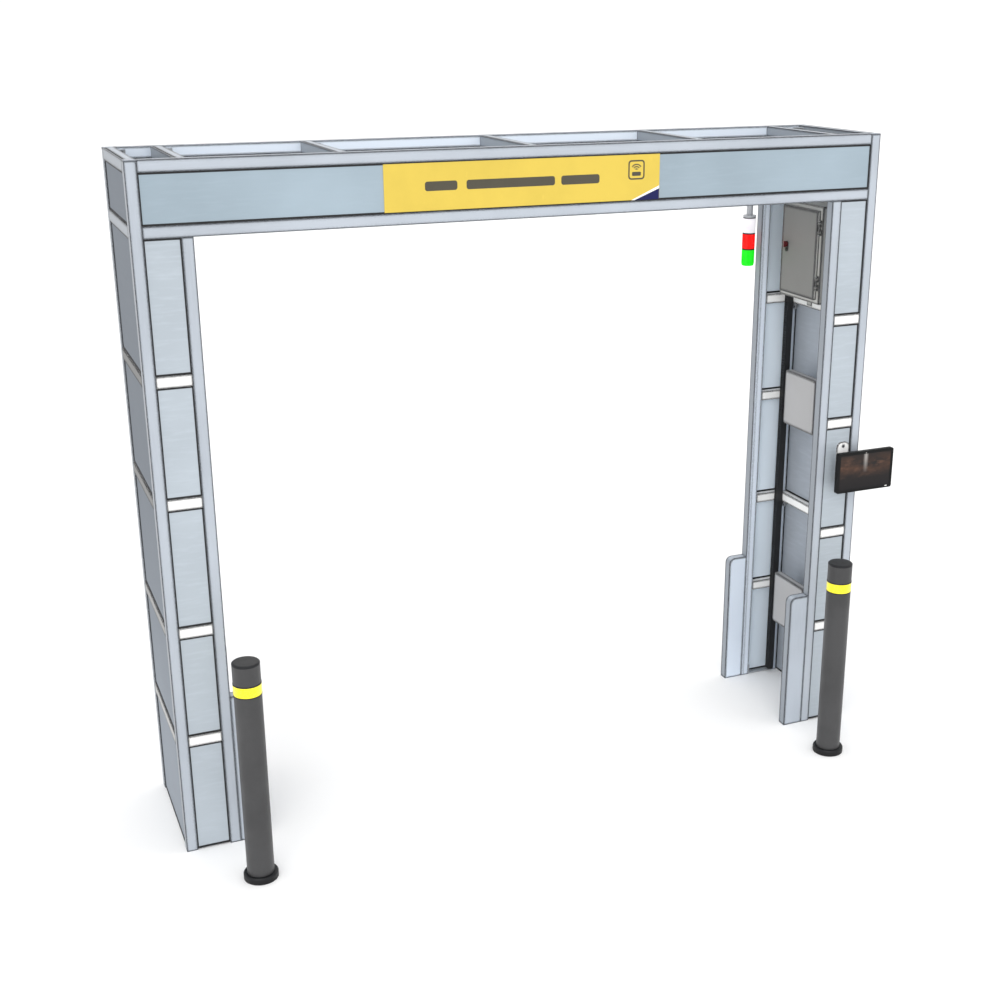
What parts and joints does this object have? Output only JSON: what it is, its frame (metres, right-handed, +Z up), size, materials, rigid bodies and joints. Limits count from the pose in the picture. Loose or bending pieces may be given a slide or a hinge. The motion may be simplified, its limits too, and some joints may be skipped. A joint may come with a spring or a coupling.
{
  "type": "security gate",
  "caption": "Portal-shaped security gate of aluminium profile with tag antennas, signal lights, control cabinet, tablet, sign, fork guards and free-standing bollards.",
  "frame": {"origin": "on the floor, in the middle of the passage: the centre of the outer row of floor anchors", "axes": "+X to the right seen from the front, +Z up, and the front with the sign, tablet and bollards faces -Y"},
  "size_m": [3.3505, 0.9903, 2.8],
  "materials": {
    "frame_aluminium": "fine satin anodising, drawn lengthways",
    "white_bar_coating": "white powder coat",
    "infill_sheet": "satin coated sheet",
    "zinc_plate": "zinc plated",
    "dark_screw_steel": "blackened",
    "duct_plastic": "matte",
    "sign_coating": "satin, printed with plain shapes",
    "bollard_grey_paint": "semi-gloss paint",
    "bollard_cap_paint": "semi-gloss paint",
    "yellow_reflective_film": "reflective film",
    "black_rubber": "matte",
    "antenna_plastic": "fine grain",
    "white_lens": "translucent",
    "red_lens": "translucent",
    "green_lens": "translucent",
    "cabinet_paint": "textured powder coat",
    "latch_plastic": "moulded",
    "latch_red": "moulded",
    "reader_paint": "satin",
    "breaker_plastic": "moulded",
    "tablet_black": "moulded",
    "screen_glass": "dark display behind glass",
    "bracket_black": "satin powder coat"
  },
  "bodies": {
    "gate": {"left_uprights": "frame_aluminium", "right_uprights": "frame_aluminium", "front_top_rail": "frame_aluminium", "front_bottom_rail": "frame_aluminium", "back_top_rail": "frame_aluminium", "back_bottom_rail": "frame_aluminium", "beam_cross_members": "frame_aluminium", "left_crossbars": "white_bar_coating", "right_crossbars": "white_bar_coating", "left_front_panels": "infill_sheet", "left_side_panels": "infill_sheet", "left_back_panels": "infill_sheet", "right_front_panels": "infill_sheet", "right_side_panels": "infill_sheet", "right_back_panels": "infill_sheet", "beam_front_panel": "infill_sheet", "beam_back_panel": "infill_sheet", "beam_end_panels": "infill_sheet", "upright_caps": "frame_aluminium", "corner_brackets": "zinc_plate", "frame_screws": "dark_screw_steel", "floor_shoes": "zinc_plate", "cable_ducts": "duct_plastic", "cable_duct_covers": "duct_plastic", "sign_plate": "sign_coating", "left_guards": "frame_aluminium", "right_guards": "frame_aluminium", "bollard_posts": "bollard_grey_paint", "bollard_caps": "bollard_cap_paint", "bollard_bands": "yellow_reflective_film", "bollard_base_plates": "zinc_plate", "bollard_base_rings": "black_rubber", "antenna_covers": "antenna_plastic", "antenna_back_plates": "zinc_plate", "antenna_brackets": "zinc_plate", "tower_stem": "antenna_plastic", "white_lamp": "white_lens", "red_lamp": "red_lens", "green_lamp": "green_lens", "cabinet_body": "cabinet_paint", "cabinet_hinge_pins": "zinc_plate", "mounting_plate": "zinc_plate", "din_rail": "zinc_plate", "rfid_reader": "reader_paint", "power_supply": "zinc_plate", "circuit_breaker": "breaker_plastic", "cable_glands": "duct_plastic", "tablet_wall_plate": "white_bar_coating", "tablet_arm": "white_bar_coating"},
    "cabinet_door": {"cabinet_door": "cabinet_paint", "cabinet_gasket": "black_rubber", "latch_housing": "latch_plastic"},
    "latch": {"latch_knob": "latch_red", "latch_cam": "zinc_plate"},
    "breaker_lever": {"breaker_toggle": "latch_plastic"},
    "tablet_swivel": {"tablet_yoke": "bracket_black"},
    "tablet": {"tablet_holder": "bracket_black", "tablet_shell": "tablet_black", "tablet_screen": "screen_glass"},
    "tablet_power_button": {"tablet_button": "tablet_black"}
  },
  "joints": [
    {"name": "cabinet_door_hinge", "type": "hinge", "parent": "gate", "child": "cabinet_door", "pos_m": [1.418, -0.151, 2.256], "axis": [0, 0, 1], "range_deg": [0, 110]},
    {"name": "cabinet_latch_turn", "type": "hinge", "parent": "cabinet_door", "child": "latch", "pos_m": [1.411, 0.097, 2.279], "axis": [-1, 0, 0], "range_deg": [0, 90]},
    {"name": "breaker_lever_tilt", "type": "hinge", "parent": "gate", "child": "breaker_lever", "pos_m": [1.475, -0.032, 2.15], "axis": [0, 1, 0], "range_deg": [0, 50]},
    {"name": "tablet_swivel_turn", "type": "hinge", "parent": "gate", "child": "tablet_swivel", "pos_m": [1.597, -0.326, 1.286], "axis": [0, 0, 1], "range_deg": [-8, 90]},
    {"name": "tablet_tilt", "type": "hinge", "parent": "tablet_swivel", "child": "tablet", "pos_m": [1.597, -0.349, 1.286], "axis": [1, 0, 0], "range_deg": [-12, 12]},
    {"name": "tablet_power_press", "type": "slide", "parent": "tablet", "child": "tablet_power_button", "axis": [-1, 0, 0], "range_m": [0, 0.001], "stiffness_N_per_m": 800}
  ]
}
